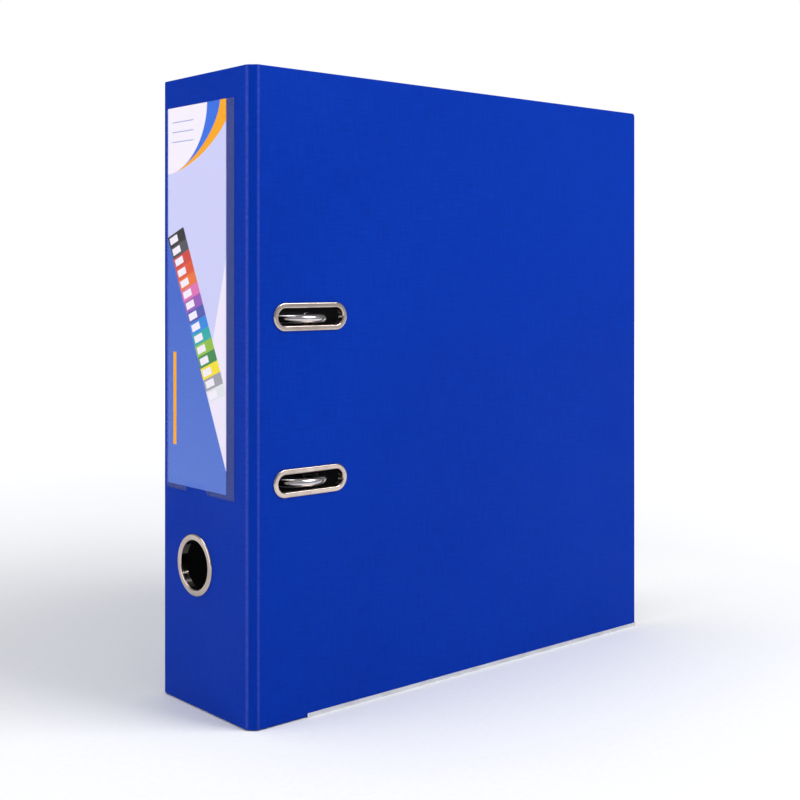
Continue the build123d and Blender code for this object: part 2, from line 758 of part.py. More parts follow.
def mechanism_parts():
    parts = {
        "base_plate": base_plate(),
        "base_rivets": base_rivets(),
        "arch_wire": arch_wire(),
        "compressor_bar": compressor_bar(),
        "clamp_hinge_pins": clamp_hinge_pins(),
        "lower_arch_spring": lower_arch_spring(),
        "upper_arch_spring": mirror(lower_arch_spring(), about=Plane.XZ),
    }
    parts.update(lever_parts())
    for name, sign in (("upper", 1), ("lower", -1)):
        plate, pad = clamp_parts(sign)
        parts[name + "_post"] = post(sign * half_pitch)
        parts[name + "_clamp_plate"] = plate
        parts[name + "_clamp_pad"] = pad
        parts[name + "_clamp_spring"] = clamp_spring(sign)
    return {name: mechanism * shape for name, shape in parts.items()}


os.makedirs("parts", exist_ok=True)
for node, shape in {**case_parts(), **label_parts(), **mechanism_parts()}.items():
    export_step(shape, f"parts/{node}.step")
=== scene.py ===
import json
import math

import bmesh
import bpy
from mathutils import Matrix, Vector

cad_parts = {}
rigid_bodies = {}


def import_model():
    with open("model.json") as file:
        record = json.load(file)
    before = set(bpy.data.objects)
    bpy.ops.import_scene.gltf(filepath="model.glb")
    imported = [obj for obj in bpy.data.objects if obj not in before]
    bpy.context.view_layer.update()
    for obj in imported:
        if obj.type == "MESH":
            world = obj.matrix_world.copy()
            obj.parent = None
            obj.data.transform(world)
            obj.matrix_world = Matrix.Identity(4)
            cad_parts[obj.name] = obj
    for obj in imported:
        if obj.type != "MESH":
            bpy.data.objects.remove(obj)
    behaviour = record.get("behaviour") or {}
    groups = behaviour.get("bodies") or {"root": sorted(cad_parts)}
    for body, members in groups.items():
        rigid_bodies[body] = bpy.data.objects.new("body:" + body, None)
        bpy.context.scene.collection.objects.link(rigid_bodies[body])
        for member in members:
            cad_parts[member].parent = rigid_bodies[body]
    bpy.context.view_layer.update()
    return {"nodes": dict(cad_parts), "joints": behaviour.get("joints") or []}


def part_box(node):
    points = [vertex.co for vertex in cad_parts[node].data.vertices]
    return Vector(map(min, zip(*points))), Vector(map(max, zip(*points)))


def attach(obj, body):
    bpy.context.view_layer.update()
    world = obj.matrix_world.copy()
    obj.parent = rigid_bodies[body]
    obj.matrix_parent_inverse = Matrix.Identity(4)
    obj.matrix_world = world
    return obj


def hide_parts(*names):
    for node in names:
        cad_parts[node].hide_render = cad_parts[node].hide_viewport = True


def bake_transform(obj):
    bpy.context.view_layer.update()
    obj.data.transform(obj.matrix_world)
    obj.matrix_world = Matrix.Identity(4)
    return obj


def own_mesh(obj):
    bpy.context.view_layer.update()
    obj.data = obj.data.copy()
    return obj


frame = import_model()
nodes = frame["nodes"]
joints = {joint["name"]: joint for joint in frame["joints"]}
scene = bpy.context.scene
mm = 0.001
print("frame loaded:", len(nodes), "nodes")


# small helpers for node trees and pieces

def addNode(tree, kind, values=None, **settings):
    node = tree.nodes.new(kind)
    for key, value in settings.items():
        setattr(node, key, value)
    for key, value in (values or {}).items():
        feed(tree, node.inputs[key], value)
    return node


def feed(tree, socket, value):  # a link where value is a socket, otherwise a plain value
    if isinstance(value, bpy.types.NodeSocket):
        tree.links.new(value, socket)
    else:
        socket.default_value = value


def calc(tree, operation, a, b=0.0, clamp=False):
    return addNode(tree, "ShaderNodeMath", {0: a, 1: b}, operation=operation, use_clamp=clamp).outputs[0]


def mixColour(tree, factor, a, b):
    node = addNode(tree, "ShaderNodeMix", data_type="RGBA")
    feed(tree, node.inputs[0], factor)
    feed(tree, node.inputs[6], a)
    feed(tree, node.inputs[7], b)
    return node.outputs[2]


def noise(tree, vector, scale, detail=2.0, rough=0.5):
    values = {"Vector": vector, "Scale": scale, "Detail": detail, "Roughness": rough}
    return addNode(tree, "ShaderNodeTexNoise", values).outputs[0]


def remap(tree, value, low, high, newLow=0.0, newHigh=1.0):
    values = {0: value, 1: low, 2: high, 3: newLow, 4: newHigh}
    return addNode(tree, "ShaderNodeMapRange", values).outputs[0]


def combine(tree, x, y, z):
    return addNode(tree, "ShaderNodeCombineXYZ", {0: x, 1: y, 2: z}).outputs[0]


def newGroup(name, inputs, outputs):  # an empty shader group with named sockets
    tree = bpy.data.node_groups.new(name, "ShaderNodeTree")
    for label, kind, value in inputs:
        socket = tree.interface.new_socket(name=label, in_out="INPUT", socket_type=kind)
        if value is not None:
            socket.default_value = value
    for label, kind in outputs:
        tree.interface.new_socket(name=label, in_out="OUTPUT", socket_type=kind)
    return tree, tree.nodes.new("NodeGroupInput"), tree.nodes.new("NodeGroupOutput")


def place(tree, group, values):  # a group inside a material, with this material's own values
    node = tree.nodes.new("ShaderNodeGroup")
    node.node_tree = group
    for key, value in values.items():
        feed(tree, node.inputs[key], value)
    return node


def newPiece(name, data):
    piece = bpy.data.objects.new(name, data)
    scene.collection.objects.link(piece)
    return piece


# effects that several materials share

def makeLinen():  # cross-laid threads of uneven width, on upright faces
    tree, start, end = newGroup(
        "linenEmboss",
        [("Vector", "NodeSocketVector", None), ("Threads", "NodeSocketFloat", 1500.0),
         ("Length", "NodeSocketFloat", 0.06)],
        [("Height", "NodeSocketFloat"), ("Shade", "NodeSocketFloat")],
    )
    parts = addNode(tree, "ShaderNodeSeparateXYZ", {0: start.outputs["Vector"]})
    across = calc(tree, "ADD", parts.outputs[0], calc(tree, "ABSOLUTE", parts.outputs[1]))
    up = parts.outputs[2]
    threads, length = start.outputs["Threads"], start.outputs["Length"]
    along = calc(tree, "MULTIPLY", threads, length)
    warp = noise(tree, combine(tree, calc(tree, "MULTIPLY", across, threads),
                               calc(tree, "MULTIPLY", up, along), 0.0), 1.0, 1.5)
    weft = noise(tree, combine(tree, calc(tree, "MULTIPLY", across, along),
                               calc(tree, "MULTIPLY", up, threads), 7.0), 1.0, 1.5)
    height = calc(tree, "MULTIPLY", calc(tree, "ADD", warp, weft), 0.5)
    feed(tree, end.inputs["Height"], height)
    feed(tree, end.inputs["Shade"], remap(tree, height, 0.27, 0.73))
    return tree


def makeGrain():  # fine even grain, for moulded plastic, board and paper
    tree, start, end = newGroup(
        "fineGrain",
        [("Vector", "NodeSocketVector", None), ("Scale", "NodeSocketFloat", 2500.0),
         ("Detail", "NodeSocketFloat", 2.0)],
        [("Height", "NodeSocketFloat"), ("Shade", "NodeSocketFloat")],
    )
    height = noise(tree, start.outputs["Vector"], start.outputs["Scale"], start.outputs["Detail"])
    feed(tree, end.inputs["Height"], height)
    feed(tree, end.inputs["Shade"], remap(tree, height, 0.35, 0.65))
    return tree


def makeHandling():  # finger smudges and a few fine scratches
    tree, start, end = newGroup(
        "handling",
        [("Vector", "NodeSocketVector", None), ("Smudge Scale", "NodeSocketFloat", 28.0),
         ("Scratch Scale", "NodeSocketFloat", 160.0), ("Roughness", "NodeSocketFloat", 0.4),
         ("Spread", "NodeSocketFloat", 0.1)],
        [("Roughness", "NodeSocketFloat"), ("Smudge", "NodeSocketFloat")],
    )
    vector = start.outputs["Vector"]
    smudge = remap(tree, noise(tree, vector, start.outputs["Smudge Scale"], 3.0), 0.42, 0.66)
    stretched = addNode(tree, "ShaderNodeMapping", {"Vector": vector, "Scale": (1.0, 1.0, 0.04),
                                                    "Rotation": (0.5, 0.35, 0.0)}).outputs[0]
    thin = noise(tree, stretched, start.outputs["Scratch Scale"], 4.0, 0.6)
    scratch = remap(tree, thin, 0.69, 0.73)
    both = calc(tree, "ADD", calc(tree, "MULTIPLY", smudge, 0.7), calc(tree, "MULTIPLY", scratch, 0.3))
    change = calc(tree, "MULTIPLY", both, start.outputs["Spread"])
    feed(tree, end.inputs["Roughness"], calc(tree, "ADD", start.outputs["Roughness"], change))
    feed(tree, end.inputs["Smudge"], smudge)
    return tree


linen, grain, handling = makeLinen(), makeGrain(), makeHandling()
print("shared effects built")


# materials

def newMaterial(name, **fixed):
    material = bpy.data.materials.new(name)
    material.use_nodes = True
    tree = material.node_tree
    shader = tree.nodes["Principled BSDF"]
    for key, value in fixed.items():
        shader.inputs[key.replace("_", " ")].default_value = value
    where = tree.nodes.new("ShaderNodeTexCoord").outputs["Object"]
    return material, tree, shader, where


def addBump(tree, shader, height, distance):
    values = {"Height": height, "Distance": distance, "Strength": 1.0}
    feed(tree, shader.inputs["Normal"], addNode(tree, "ShaderNodeBump", values).outputs[0])


foilLook = {
    "deep": (0.0, 0.023, 0.30, 1),
    "bright": (0.0, 0.036, 0.40, 1),
    "stressed": (0.10, 0.14, 0.55, 1),  # painted highlight where the foil is creased
    "threads": 1300.0,  # per metre
    "emboss": 0.00005,
    "rough": 0.46,
}


def coverFoil(name, stressed):
    material, tree, shader, where = newMaterial(name, IOR=1.46, Specular_IOR_Level=0.05)
    weave = place(tree, linen, {"Vector": where, "Threads": foilLook["threads"]})
    use = place(tree, handling, {"Vector": where, "Roughness": foilLook["rough"], "Spread": 0.12})
    cloud = remap(tree, noise(tree, where, 9.0, 2.0), 0.35, 0.65, -0.1, 0.1)
    shade = calc(tree, "ADD", weave.outputs["Shade"], cloud, clamp=True)
    colour = mixColour(tree, shade, foilLook["deep"], foilLook["bright"])
    # painted highlight: a paler blue drawn along each crease, where the pressed score lines would catch the
    # light, broken up by noise
    if stressed:
        mark = addNode(tree, "ShaderNodeAttribute", attribute_name="stress").outputs["Fac"]
        broken = remap(tree, noise(tree, where, 600.0, 3.0), 0.3, 0.7, 0.45, 1.0)
        colour = mixColour(tree, calc(tree, "MULTIPLY", mark, broken), colour, foilLook["stressed"])
    feed(tree, shader.inputs["Base Color"], colour)
    feed(tree, shader.inputs["Roughness"], use.outputs["Roughness"])
    addBump(tree, shader, weave.outputs["Height"], foilLook["emboss"])
    return material


def speckled(name, colours, scale, rough, bump, detail=3.0, **fixed):
    material, tree, shader, where = newMaterial(name, **fixed)
    fine = place(tree, grain, {"Vector": where, "Scale": scale, "Detail": detail})
    use = place(tree, handling, {"Vector": where, "Roughness": rough, "Spread": 0.12})
    patches = remap(tree, noise(tree, where, 40.0, 2.0), 0.3, 0.7, -0.2, 0.2)
    shade = calc(tree, "ADD", fine.outputs["Shade"], patches, clamp=True)
    feed(tree, shader.inputs["Base Color"], mixColour(tree, shade, *colours))
    feed(tree, shader.inputs["Roughness"], use.outputs["Roughness"])
    addBump(tree, shader, fine.outputs["Height"], bump)
    return material


def metal(name, clean, dull, rough, spread, brush=0.0):  # brush is the height of lines along Z
    material, tree, shader, where = newMaterial(name, Metallic=1.0)
    use = place(tree, handling, {"Vector": where, "Smudge Scale": 90.0, "Scratch Scale": 420.0,
                                 "Roughness": rough, "Spread": spread})
    worn = calc(tree, "MULTIPLY", use.outputs["Smudge"], 0.6)
    feed(tree, shader.inputs["Base Color"], mixColour(tree, worn, clean, dull))
    feed(tree, shader.inputs["Roughness"], use.outputs["Roughness"])
    lines = addNode(tree, "ShaderNodeMapping", {"Vector": where, "Scale": (1.0, 1.0, 0.03)}).outputs[0]
    height = noise(tree, lines, 5000.0 if brush else 900.0, 2.0)
    addBump(tree, shader, height, brush or 0.000004)
    return material


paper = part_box("label_card")
printSet = {  # lengths in millimetres, from the label's left edge and from its top
    "headWide": 36.5, "headDeep": 33.5, "headCurve": 1.9,  # a curve of 2 is an ellipse
    "middleWide": 48.0, "outerWide": 59.0, "bandCurve": 1.6,
    "wedgeTop": 67.0, "wedgeSlope": 2.12, "fadeTop": 100.0, "fadeBottom": 185.0,
    "stripWide": 17.5, "stripTop": 66.0, "stripBottom": 148.0, "stripSlant": 0.3,
    "tagLeft": 1.4, "tagRight": 9.6, "tagTop": 0.20, "tagBottom": 0.80,  # the last two as shares of a block
    "ruleEdge": 5.0, "ruleWide": 3.0, "ruleTop": 124.0, "ruleBottom": 171.0,
    "lightTop": 78.0, "lightSlope": 3.4, "lightEdge": 53.0,
    "lineGap": 5.0, "lineShare": 0.045, "lineInk": 0.7,  # three ruled lines in the head
    "linesLeft": 4.0, "linesRight": 24.0, "linesTop": 6.0, "linesBottom": 21.0,
}
inks = {
    "white": (0.88, 0.82, 0.90, 1), "lavender": (0.60, 0.60, 0.88, 1), "pale": (0.84, 0.78, 0.90, 1),
    "blue": (0.03, 0.15, 0.72, 1), "orange": (0.92, 0.38, 0.0, 1),
    "wedgeHigh": (0.05, 0.13, 0.56, 1), "wedgeLow": (0.09, 0.18, 0.61, 1),
}
blockInks = [
    (0.03, 0.03, 0.03), (0.08, 0.08, 0.09), (0.60, 0.06, 0.04), (0.72, 0.09, 0.03), (0.80, 0.17, 0.04),
    (0.72, 0.16, 0.42), (0.30, 0.10, 0.45), (0.08, 0.09, 0.42), (0.03, 0.24, 0.70), (0.02, 0.38, 0.36),
    (0.28, 0.50, 0.05), (0.05, 0.25, 0.07), (0.90, 0.72, 0.02), (0.35, 0.35, 0.38), (0.75, 0.75, 0.80),
]


def labelCard():
    material, tree, shader, where = newMaterial("printedCard", Roughness=0.45, Specular_IOR_Level=0.08)
    s = printSet
    parts = addNode(tree, "ShaderNodeSeparateXYZ", {0: where})
    left = calc(tree, "MULTIPLY", calc(tree, "SUBTRACT", paper[1].y, parts.outputs[1]), 1000.0)
    down = calc(tree, "MULTIPLY", calc(tree, "SUBTRACT", paper[1].z, parts.outputs[2]), 1000.0)

    def within(value, limit, soft=0.12):  # 1 where value is under limit
        return remap(tree, value, limit + soft, limit - soft)

    def arc(wide, curve):  # 1 inside a curve from the label's top to its left edge
        a = calc(tree, "POWER", calc(tree, "DIVIDE", calc(tree, "MAXIMUM", left, 0.0), wide), curve)
        b = calc(tree, "POWER", calc(tree, "DIVIDE", calc(tree, "MAXIMUM", down, 0.0), s["headDeep"]), curve)
        return within(calc(tree, "ADD", a, b), 1.0, 0.006)

    def both(*masks):
        total = masks[0]
        for mask in masks[1:]:
            total = calc(tree, "MULTIPLY", total, mask)
        return total

    def outside(mask):
        return calc(tree, "SUBTRACT", 1.0, mask)

    wedge = calc(tree, "SUBTRACT", left,
                 calc(tree, "DIVIDE", calc(tree, "SUBTRACT", down, s["wedgeTop"]), s["wedgeSlope"]))
    light = calc(tree, "ADD", left,
                 calc(tree, "DIVIDE", calc(tree, "SUBTRACT", down, s["lightTop"]), s["lightSlope"]))
    colour = mixColour(tree, within(light, s["lightEdge"]), inks["pale"], inks["lavender"])
    fade = remap(tree, down, s["fadeTop"], s["fadeBottom"])
    wedgeInk = mixColour(tree, fade, inks["wedgeHigh"], inks["wedgeLow"])
    colour = mixColour(tree, within(wedge, 0.0), colour, wedgeInk)

    blocks = len(blockInks)
    step = (s["stripBottom"] - s["stripTop"]) / blocks
    slanted = calc(tree, "ADD", down, calc(tree, "MULTIPLY", wedge, s["stripSlant"]))
    turn = calc(tree, "DIVIDE", calc(tree, "SUBTRACT", slanted, s["stripTop"]), step)
    ramp = addNode(tree, "ShaderNodeValToRGB", {0: calc(tree, "DIVIDE", turn, float(blocks))})
    ramp.color_ramp.interpolation = "CONSTANT"
    stops = ramp.color_ramp.elements
    for index, ink in enumerate(blockInks):
        stop = stops[0] if index == 0 else stops.new(index / blocks)
        stop.color = (*ink, 1)
    stops.remove(stops[-1])
    part = calc(tree, "FRACT", turn)
    tag = both(within(wedge, s["tagRight"]), outside(within(wedge, s["tagLeft"])),
               within(part, s["tagBottom"], 0.03), outside(within(part, s["tagTop"], 0.03)))
    field = mixColour(tree, tag, ramp.outputs[0], inks["white"])
    inStrip = both(within(wedge, s["stripWide"]), outside(within(wedge, 0.0)),
                   within(turn, float(blocks), 0.02), outside(within(turn, 0.0, 0.02)))
    colour = mixColour(tree, inStrip, colour, field)

    ruled = both(within(left, s["ruleEdge"] + s["ruleWide"]), outside(within(left, s["ruleEdge"])),
                 within(down, s["ruleBottom"]), outside(within(down, s["ruleTop"])))
    colour = mixColour(tree, ruled, colour, inks["orange"])
    colour = mixColour(tree, arc(s["outerWide"], s["bandCurve"]), colour, inks["orange"])
    colour = mixColour(tree, arc(s["middleWide"], s["bandCurve"]), colour, inks["blue"])
    colour = mixColour(tree, arc(s["headWide"], s["headCurve"]), colour, inks["white"])
    lineAt = calc(tree, "ABSOLUTE", calc(tree, "SUBTRACT", calc(tree, "FRACT",
                  calc(tree, "DIVIDE", down, s["lineGap"])), 0.5))
    lines = both(within(lineAt, s["lineShare"], 0.01),
                 within(down, s["linesBottom"]), outside(within(down, s["linesTop"])),
                 within(left, s["linesRight"]), outside(within(left, s["linesLeft"])))
    colour = mixColour(tree, calc(tree, "MULTIPLY", lines, s["lineInk"]), colour, inks["wedgeHigh"])
    feed(tree, shader.inputs["Base Color"], colour)
    fine = place(tree, grain, {"Vector": where, "Scale": 1800.0})
    addBump(tree, shader, fine.outputs["Height"], 0.000006)
    return material


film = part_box("label_pocket")
filmSet = {
    "frontWeld": 6.8, "backWeld": 1.2, "footWeld": 2.4, "edge": 0.1,  # millimetres
    "clear": 0.012, "milky": 0.15,  # how much of the light the film stops
    "clearTint": (0.9, 0.88, 0.98, 1), "weldTint": (0.36, 0.46, 0.98, 1),
}


def pocketFilm():  # clear over the label, milky and finely pitted where it is welded down
    material, tree, shader, where = newMaterial("pocketFilm", IOR=1.5, Specular_IOR_Level=0.12)
    parts = addNode(tree, "ShaderNodeSeparateXYZ", {0: where})
    y, z = parts.outputs[1], parts.outputs[2]
    s = filmSet
    front = remap(tree, y, film[0].y + (s["frontWeld"] + s["edge"]) * mm,
                  film[0].y + (s["frontWeld"] - s["edge"]) * mm)
    back = remap(tree, y, film[1].y - (s["backWeld"] + s["edge"]) * mm,
                 film[1].y - (s["backWeld"] - s["edge"]) * mm)
    foot = remap(tree, z, film[0].z + (s["footWeld"] + s["edge"]) * mm,
                 film[0].z + (s["footWeld"] - s["edge"]) * mm)
    weld = calc(tree, "MAXIMUM", calc(tree, "MAXIMUM", front, back), foot)
    pits = place(tree, grain, {"Vector": where, "Scale": 900.0, "Detail": 1.0})
    use = place(tree, handling, {"Vector": where, "Roughness": 0.12, "Spread": 0.16})
    cloudy = calc(tree, "MULTIPLY", weld, remap(tree, pits.outputs["Shade"], 0.0, 1.0, 0.65, 1.0))
    feed(tree, shader.inputs["Alpha"], remap(tree, cloudy, 0.0, 1.0, s["clear"], s["milky"]))
    feed(tree, shader.inputs["Base Color"], mixColour(tree, weld, s["clearTint"], s["weldTint"]))
    feed(tree, shader.inputs["Roughness"], calc(tree, "MAXIMUM", use.outputs["Roughness"],
                                                calc(tree, "MULTIPLY", weld, 0.45)))
    addBump(tree, shader, calc(tree, "MULTIPLY", pits.outputs["Height"], weld), 0.00005)
    return material


looks = {
    "foil": coverFoil("coverFoil", False),
    "creased": coverFoil("creasedFoil", True),
    "board": speckled("greyBoard", ((0.20, 0.18, 0.15, 1), (0.34, 0.31, 0.27, 1)), 700.0, 0.85, 0.00005),
    # the lining is a real sheet, but its near-black colour is painted shade that darkens the file's shaded
    # inside
    "lining": speckled("blackLining", ((0.004, 0.004, 0.005, 1), (0.012, 0.012, 0.015, 1)),
                       1400.0, 0.62, 0.00002, Specular_IOR_Level=0.3),
    "nickel": metal("nickelRing", (0.54, 0.46, 0.41, 1), (0.34, 0.28, 0.25, 1), 0.15, 0.14),
    "rail": metal("railSteel", (0.78, 0.78, 0.78, 1), (0.62, 0.62, 0.62, 1), 0.26, 0.2, 0.000006),
    "wire": metal("platedWire", (0.62, 0.60, 0.61, 1), (0.44, 0.42, 0.42, 1), 0.14, 0.14),
    "plate": metal("pressedSteel", (0.66, 0.65, 0.62, 1), (0.48, 0.46, 0.43, 1), 0.25, 0.2, 0.000005),
    "spring": metal("springSteel", (0.36, 0.36, 0.38, 1), (0.20, 0.19, 0.19, 1), 0.30, 0.2),
    "grip": speckled("blackGrip", ((0.010, 0.010, 0.011, 1), (0.020, 0.020, 0.022, 1)),
                     2600.0, 0.42, 0.00003),
    "acetal": speckled("whiteAcetal", ((0.66, 0.64, 0.60, 1), (0.76, 0.74, 0.70, 1)),
                       500.0, 0.34, 0.000006),
    "film": pocketFilm(),
    "label": labelCard(),
    "dots": speckled("weldPits", ((0.03, 0.06, 0.42, 1), (0.08, 0.11, 0.52, 1)), 900.0, 0.35, 0.00001),
}

finishes = {  # which finish each CAD node gets, by the end of its name
    "_foil": "foil", "_board": "board", "_lining": "lining", "_ring": "nickel", "_rail": "rail",
    "base_rivets": "nickel", "base_plate": "plate", "lever_arm": "plate", "compressor_bar": "plate",
    "_clamp_plate": "plate", "arch_wire": "wire", "_post": "wire", "lever_pivot_pin": "wire",
    "roller_axle": "wire", "clamp_hinge_pins": "wire", "_spring": "spring", "lever_grip": "grip",
    "_pad": "grip", "roller": "acetal", "label_pocket": "film", "label_card": "label",
}
for name, piece in nodes.items():
    found = [look for ending, look in finishes.items() if name.endswith(ending)]
    piece.data.materials.clear()
    piece.data.materials.append(looks[found[0]])
print("materials placed on", len(nodes), "nodes")


# folds of foil and lining that close the creases between the panels

foldSet = {  # lengths in millimetres
    "half": 1.2,  # half of a panel's thickness
    "gap": 0.15,  # half of the free width between two panels
    "slope": math.tan(math.radians(23.5)),  # of a panel's end
    "under": 0.3,  # how far a fold runs in under the panels' faces
    "sink": 0.03,  # how far the tucked edge lies below the face
    "steps": 12,  # across the fold
    "rows": 12,  # up the fold
    "outerMiddle": 1.02, "innerMiddle": 1.30,  # from the crease's axis to the fold's middle
    "bulge": 0.7,  # under 1 is a fuller fold
    "core": 0.5,  # share of the radius where a fold's hidden side lies
    "rounding": ((0.0, 0.45), (0.15, 0.18), (0.6, 0.0)),  # from an end: distance, how far it falls
}
foldHighlights = {  # painted highlight along a fold: middle and half width as shares of the fold, strength
    "front_inner_crease": (0.60, 0.75, 0.42),
    "front_outer_crease": (0.62, 0.5, 0.34),
    "back_inner_crease": (0.5, 0.25, 0.35),
    "back_outer_crease": (0.5, 0.3, 0.4),
}


def towards(point, panel):  # level unit direction from a crease's axis into a panel
    low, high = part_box(panel)
    middle = (low + high) / 2
    away = Vector((middle.x - point.x, middle.y - point.y, 0.0))
    if panel.startswith(("front_hinge", "back_hinge")):
        return away.normalized()
    if high.x - low.x > high.y - low.y:
        return Vector((math.copysign(1, away.x), 0, 0))
    return Vector((0, math.copysign(1, away.y), 0))


def foldOutline(point, sideA, sideB, outer, shrink):
    s = foldSet
    sign = 1 if outer else -1
    setback = s["gap"] + s["half"] * s["slope"]

    def facing(side):
        normal = Vector((-side.y, side.x, 0))
        return normal if normal.dot(point) > 0 else -normal

    ends = []
    for side in (sideA, sideB):
        normal = facing(side) * sign
        corner = side * setback + normal * (s["half"] - shrink)
        tucked = side * (setback + s["under"]) + normal * (s["half"] - s["sink"] - shrink)
        ends.append((tucked, corner))
    (tuckA, cornerA), (tuckB, cornerB) = ends
    angleA = math.atan2(cornerA.y, cornerA.x)
    swing = (math.atan2(cornerB.y, cornerB.x) - angleA + math.pi) % (2 * math.pi) - math.pi
    middle = (s["outerMiddle"] if outer else s["innerMiddle"]) - shrink
    face = [tuckA]
    for step in range(s["steps"] + 1):
        share = step / s["steps"]
        radius = cornerA.length + (middle - cornerA.length) * math.sin(math.pi * share) ** s["bulge"]
        angle = angleA + swing * share
        face.append(Vector((math.cos(angle), math.sin(angle), 0)) * radius)
    face.append(tuckB)
    hidden = [v * s["core"] for v in face]
    return [point + v * mm for v in face], [point + v * mm for v in hidden]


def makeFold(jointName, outer):
    joint = joints[jointName]
    s = foldSet
    parent, child = joint["parent"], joint["child"]
    point = Vector((joint["pos_m"][0], joint["pos_m"][1], 0.0))
    sideA, sideB = towards(point, parent + "_board"), towards(point, child + "_board")
    skin = "_foil" if outer else "_lining"
    low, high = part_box(parent + skin)
    rows = [(low.z + d * mm, f) for d, f in s["rounding"]]
    rows += [(low.z + (high.z - low.z) * k / s["rows"], 0.0) for k in range(1, s["rows"])]
    rows += [(high.z - d * mm, f) for d, f in reversed(s["rounding"])]
    mesh = bmesh.new()
    stress = mesh.verts.layers.float.new("stress")
    centre, width, strength = foldHighlights[jointName]
    rings = []
    for height, shrink in rows:
        face, hidden = foldOutline(point, sideA, sideB, outer, shrink if outer else 0.0)
        ring = []
        for index, corner in enumerate([*face, *reversed(hidden)]):
            vertex = mesh.verts.new((corner.x, corner.y, height))
            share = (index - 1) / s["steps"]
            # how much painted crease highlight each vertex carries, peaking along the fold's line
            peak = max(0.0, 1 - abs(share - centre) / width) if index < len(face) else 0.0
            vertex[stress] = strength * peak * peak * (3 - 2 * peak) if outer else 0.0
            ring.append(vertex)
        rings.append(ring)
    count = len(rings[0])
    for lower, upper in zip(rings, rings[1:]):
        for k in range(count):
            mesh.faces.new((lower[k], lower[(k + 1) % count], upper[(k + 1) % count], upper[k]))
    for ring in (rings[0], rings[-1]):
        for k in range(count // 2 - 1):
            mesh.faces.new((ring[k], ring[k + 1], ring[count - 2 - k], ring[count - 1 - k]))
    bmesh.ops.recalc_face_normals(mesh, faces=mesh.faces)
    name = jointName + skin
    data = bpy.data.meshes.new(name)
    mesh.to_mesh(data)
    mesh.free()
    data.materials.append(looks["creased" if outer else "lining"])
    for polygon in data.polygons:
        polygon.use_smooth = abs(polygon.normal.z) < 0.5
    fold = newPiece(name, data)
    reach = foldOutline(point, sideA, sideB, outer, 0.0)[0][1] - point
    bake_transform(fold)


for jointName in foldHighlights:
    for outer in (True, False):
        makeFold(jointName, outer)
print("folds closed over", len(foldHighlights), "creases")


# Geometry Nodes: welded dots on the pocket's border, and wire that follows a path

def newShapeTree(name, inputs):
    tree = bpy.data.node_groups.new(name, "GeometryNodeTree")
    for label, kind, value in inputs:
        socket = tree.interface.new_socket(name=label, in_out="INPUT", socket_type=kind)
        if value is not None:
            socket.default_value = value
    tree.interface.new_socket(name="Geometry", in_out="OUTPUT", socket_type="NodeSocketGeometry")
    return tree, tree.nodes.new("NodeGroupInput"), tree.nodes.new("NodeGroupOutput")


def closeTree(tree, end, shape, material):  # every tree ends in Realize Instances and Set Material
    smooth = addNode(tree, "GeometryNodeSetShadeSmooth", {0: shape})
    real = addNode(tree, "GeometryNodeRealizeInstances", {"Geometry": smooth.outputs[0]})
    done = addNode(tree, "GeometryNodeSetMaterial", {"Geometry": real.outputs[0], "Material": material})
    feed(tree, end.inputs["Geometry"], done.outputs[0])


def runTree(base, tree, values):  # the tree's result as a plain mesh
    modifier = base.modifiers.new("shape", "NODES")
    modifier.node_group = tree
    for item in tree.interface.items_tree:
        if item.in_out == "INPUT" and item.name in values:
            modifier[item.identifier] = values[item.name]
    bpy.context.view_layer.update()
    evaluated = base.evaluated_get(bpy.context.evaluated_depsgraph_get())
    data = bpy.data.meshes.new_from_object(evaluated)
    base.modifiers.remove(modifier)
    return data


def dotTree():
    tree, start, end = newShapeTree("weldDots", [
        ("Width", "NodeSocketFloat", 0.006), ("Length", "NodeSocketFloat", 0.19),
        ("Pitch", "NodeSocketFloat", 0.0012), ("Radius", "NodeSocketFloat", 0.0003),
        ("Height", "NodeSocketFloat", 0.00006), ("Seed", "NodeSocketInt", 4),
    ])
    value = start.outputs

    def tally(size):
        return calc(tree, "ADD", calc(tree, "FLOOR", calc(tree, "DIVIDE", size, value["Pitch"])), 1.0)

    grid = addNode(tree, "GeometryNodeMeshGrid", {
        "Size X": value["Width"], "Size Y": value["Length"],
        "Vertices X": tally(value["Width"]), "Vertices Y": tally(value["Length"])})
    near = calc(tree, "MULTIPLY", value["Pitch"], -0.12)
    far = calc(tree, "MULTIPLY", value["Pitch"], 0.12)
    shift = addNode(tree, "FunctionNodeRandomValue", {"Seed": value["Seed"]}, data_type="FLOAT")
    feed(tree, shift.inputs[2], near)
    feed(tree, shift.inputs[3], far)
    moved = addNode(tree, "GeometryNodeSetPosition", {
        "Geometry": grid.outputs[0], "Offset": combine(tree, shift.outputs[1], 0.0, 0.0)})
    dot = addNode(tree, "GeometryNodeMeshUVSphere", {"Segments": 8, "Rings": 4, "Radius": 1.0})
    size = combine(tree, value["Radius"], value["Radius"], value["Height"])
    placed = addNode(tree, "GeometryNodeInstanceOnPoints", {
        "Points": moved.outputs[0], "Instance": dot.outputs[0], "Scale": size})
    closeTree(tree, end, placed.outputs[0], looks["dots"])
    return tree


def wireTree():
    tree, start, end = newShapeTree("wireOnPath", [
        ("Geometry", "NodeSocketGeometry", None), ("Radius", "NodeSocketFloat", 0.0005),
        ("Sides", "NodeSocketInt", 12),
    ])
    path = addNode(tree, "GeometryNodeMeshToCurve", {"Mesh": start.outputs["Geometry"]})
    section = addNode(tree, "GeometryNodeCurvePrimitiveCircle", {
        "Resolution": start.outputs["Sides"], "Radius": start.outputs["Radius"]})
    tube = addNode(tree, "GeometryNodeCurveToMesh", {
        "Curve": path.outputs[0], "Profile Curve": section.outputs[0], "Fill Caps": True})
    closeTree(tree, end, tube.outputs[0], looks["spring"])
    return tree


